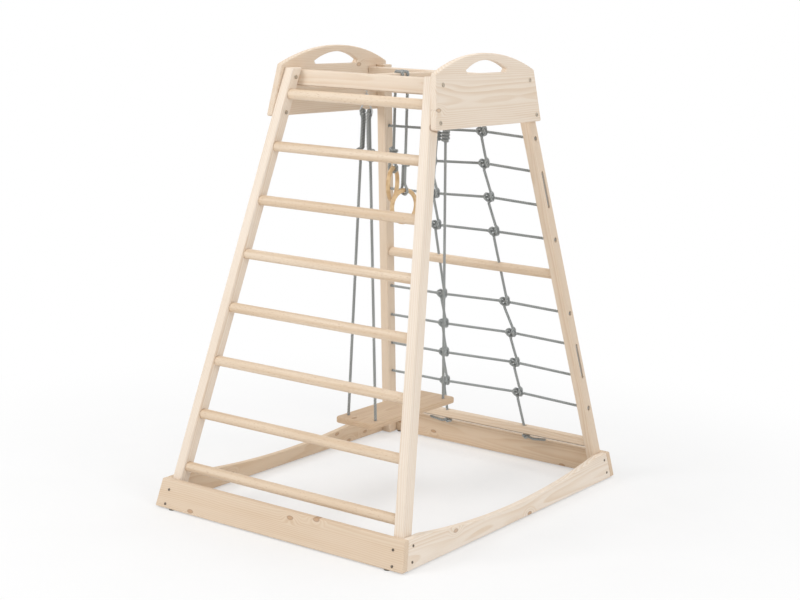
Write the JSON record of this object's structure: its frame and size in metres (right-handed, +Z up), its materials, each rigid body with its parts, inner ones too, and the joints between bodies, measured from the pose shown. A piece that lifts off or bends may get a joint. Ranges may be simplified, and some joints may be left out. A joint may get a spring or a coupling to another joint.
{
  "type": "indoor play tower",
  "caption": "Leaning wooden indoor climbing tower with a rung ladder, a knotted rope net, a hanging swing seat, gym rings and arched handle boards.",
  "frame": {"origin": "on the floor, under the middle of the tower", "axes": "+Z up, +X along the rungs to the right, -Y the ladder side, +Y the net side"},
  "size_m": [0.8976, 1.1726, 1.35],
  "materials": {
    "pine": "satin clear lacquer",
    "turned_beech": "satin clear lacquer",
    "grey_rope": "twisted rope",
    "zinc": "zinc plated",
    "dark_steel": "dark oxide",
    "glide_felt": "matt"
  },
  "bodies": {
    "tower": {"post_front_right": "pine", "post_front_left": "pine", "post_back_right": "pine", "post_back_left": "pine", "base_board_right": "pine", "base_board_left": "pine", "base_board_front": "pine", "base_board_back": "pine", "glide_front_right": "glide_felt", "glide_front_left": "glide_felt", "glide_back_right": "glide_felt", "glide_back_left": "glide_felt", "handle_board_right": "pine", "handle_board_left": "pine", "handle_bolt_front_right_low": "dark_steel", "handle_bolt_front_right_high": "dark_steel", "handle_bolt_front_left_low": "dark_steel", "handle_bolt_front_left_high": "dark_steel", "handle_bolt_back_right_low": "dark_steel", "handle_bolt_back_right_high": "dark_steel", "handle_bolt_back_left_low": "dark_steel", "handle_bolt_back_left_high": "dark_steel", "top_rail_front": "pine", "top_rail_back": "pine", "centre_beam": "pine", "rung_1": "pine", "rung_2": "pine", "rung_3": "pine", "rung_4": "pine", "rung_5": "pine", "rung_6": "pine", "rung_7": "pine", "rung_8": "pine", "net_rung": "pine", "net_bottom_bar": "pine", "net_rope_upper": "grey_rope", "net_rope_lower": "grey_rope", "net_upright_right": "grey_rope", "net_upright_left": "grey_rope", "screw_eye_front": "zinc", "screw_eye_back": "zinc", "ring_rope_wrap": "grey_rope"},
    "swing": {"swing_seat": "pine", "swing_link_front": "zinc", "swing_link_back": "zinc", "swing_rope_front_right": "grey_rope", "swing_rope_front_left": "grey_rope", "swing_rope_back_right": "grey_rope", "swing_rope_back_left": "grey_rope"},
    "left_rope": {"ring_rope_left": "grey_rope"},
    "left_ring": {"ring_left": "turned_beech"},
    "right_rope": {"ring_rope_right": "grey_rope"},
    "right_ring": {"ring_right": "turned_beech"}
  },
  "joints": [
    {"name": "swing_hinge", "type": "hinge", "parent": "tower", "child": "swing", "pos_m": [0, 0, 1.207], "axis": [0, 1, 0], "range_deg": [-40, 40]},
    {"name": "left_rope_hinge", "type": "hinge", "parent": "tower", "child": "left_rope", "pos_m": [-0.0218, -0.0243, 1.2222], "axis": [0, 1, 0], "range_deg": [0, 40]},
    {"name": "right_rope_hinge", "type": "hinge", "parent": "tower", "child": "right_rope", "pos_m": [0.0218, -0.0243, 1.2222], "axis": [0, 1, 0], "range_deg": [-40, 0]},
    {"name": "left_ring_hinge", "type": "hinge", "parent": "left_rope", "child": "left_ring", "pos_m": [-0.0218, -0.0243, 0.9995], "axis": [0.3256, -0.9455, 0], "range_deg": [-50, 0]},
    {"name": "right_ring_hinge", "type": "hinge", "parent": "right_rope", "child": "right_ring", "pos_m": [0.0218, -0.0243, 0.9362], "axis": [-0.225, -0.9744, 0], "range_deg": [0, 50]}
  ]
}
